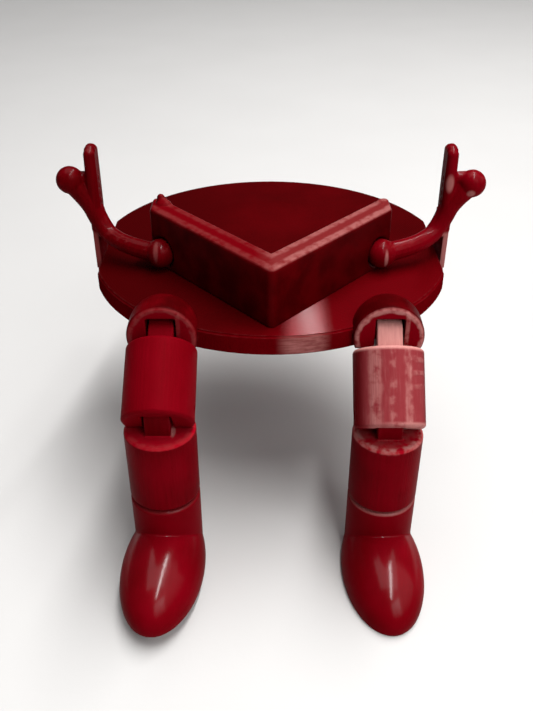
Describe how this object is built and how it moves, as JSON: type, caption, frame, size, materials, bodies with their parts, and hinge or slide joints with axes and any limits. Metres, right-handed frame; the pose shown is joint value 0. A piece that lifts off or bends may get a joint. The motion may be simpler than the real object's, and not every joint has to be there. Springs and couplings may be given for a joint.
{
  "type": "toy robot",
  "caption": "Small jointed toy robot with a flat round body, a raised chevron chest, forked swinging arms, and pinned hip and knee legs ending in swivelling rounded boots.",
  "frame": {"origin": "centre of the disc's flat back", "axes": "+Z out of the disc's face, -Y towards the feet along the body, X across the body through both shoulders"},
  "size_m": [0.0734, 0.0907, 0.0588],
  "materials": {
    "disc_red": "semi-gloss printed plastic with fine laid lines",
    "crest_red": "semi-gloss printed plastic, lighter worn edges",
    "hip_red": "semi-gloss printed plastic",
    "leg_red": "glossy printed plastic with fine layer lines",
    "scuffed_red": "scraped and stress-whitened plastic with long scratches",
    "boot_red": "glossy printed plastic with fine contour lines",
    "arm_red": "glossy printed plastic",
    "pin_red": "cut filament with flat ends"
  },
  "bodies": {
    "torso": {"body_disc": "disc_red", "chest_crest": "crest_red", "left_hip_fork": "hip_red", "left_hip_pin": "pin_red", "left_shoulder_peg": "pin_red", "right_hip_fork": "hip_red", "right_hip_pin": "pin_red", "right_shoulder_peg": "pin_red"},
    "left_arm": {"left_arm": "arm_red"},
    "left_thigh": {"left_thigh": "leg_red", "left_knee_pin": "pin_red"},
    "left_shin": {"left_shin": "leg_red", "left_ankle_peg": "pin_red"},
    "left_boot": {"left_boot": "boot_red"},
    "right_arm": {"right_arm": "arm_red"},
    "right_thigh": {"right_thigh": "scuffed_red", "right_knee_pin": "pin_red"},
    "right_shin": {"right_shin": "leg_red", "right_ankle_peg": "pin_red"},
    "right_boot": {"right_boot": "boot_red"}
  },
  "joints": [
    {"name": "left_shoulder_swing", "type": "hinge", "parent": "torso", "child": "left_arm", "pos_m": [-0.019, -0.00958, 0.0065], "axis": [1, 0, 0], "range_deg": [-35, 75]},
    {"name": "left_hip_bend", "type": "hinge", "parent": "torso", "child": "left_thigh", "pos_m": [-0.01685, -0.029, 0.0025], "axis": [1, 0, 0], "range_deg": [-34, 56]},
    {"name": "left_knee_bend", "type": "hinge", "parent": "left_thigh", "child": "left_shin", "pos_m": [-0.01685, -0.03978, -0.00477], "axis": [1, 0, 0], "range_deg": [-56, 34]},
    {"name": "left_ankle_turn", "type": "hinge", "parent": "left_shin", "child": "left_boot", "pos_m": [-0.01685, -0.03978, -0.02037], "axis": [0, 0, 1], "range_deg": [-45, 45]},
    {"name": "right_shoulder_swing", "type": "hinge", "parent": "torso", "child": "right_arm", "pos_m": [0.019, -0.00958, 0.0065], "axis": [1, 0, 0], "range_deg": [-35, 75]},
    {"name": "right_hip_bend", "type": "hinge", "parent": "torso", "child": "right_thigh", "pos_m": [0.0181, -0.029, 0.0025], "axis": [1, 0, 0], "range_deg": [-49, 41]},
    {"name": "right_knee_bend", "type": "hinge", "parent": "right_thigh", "child": "right_shin", "pos_m": [0.0181, -0.03753, -0.00731], "axis": [1, 0, 0], "range_deg": [-41, 49]},
    {"name": "right_ankle_turn", "type": "hinge", "parent": "right_shin", "child": "right_boot", "pos_m": [0.0181, -0.03753, -0.02291], "axis": [0, 0, 1], "range_deg": [-45, 45]}
  ]
}
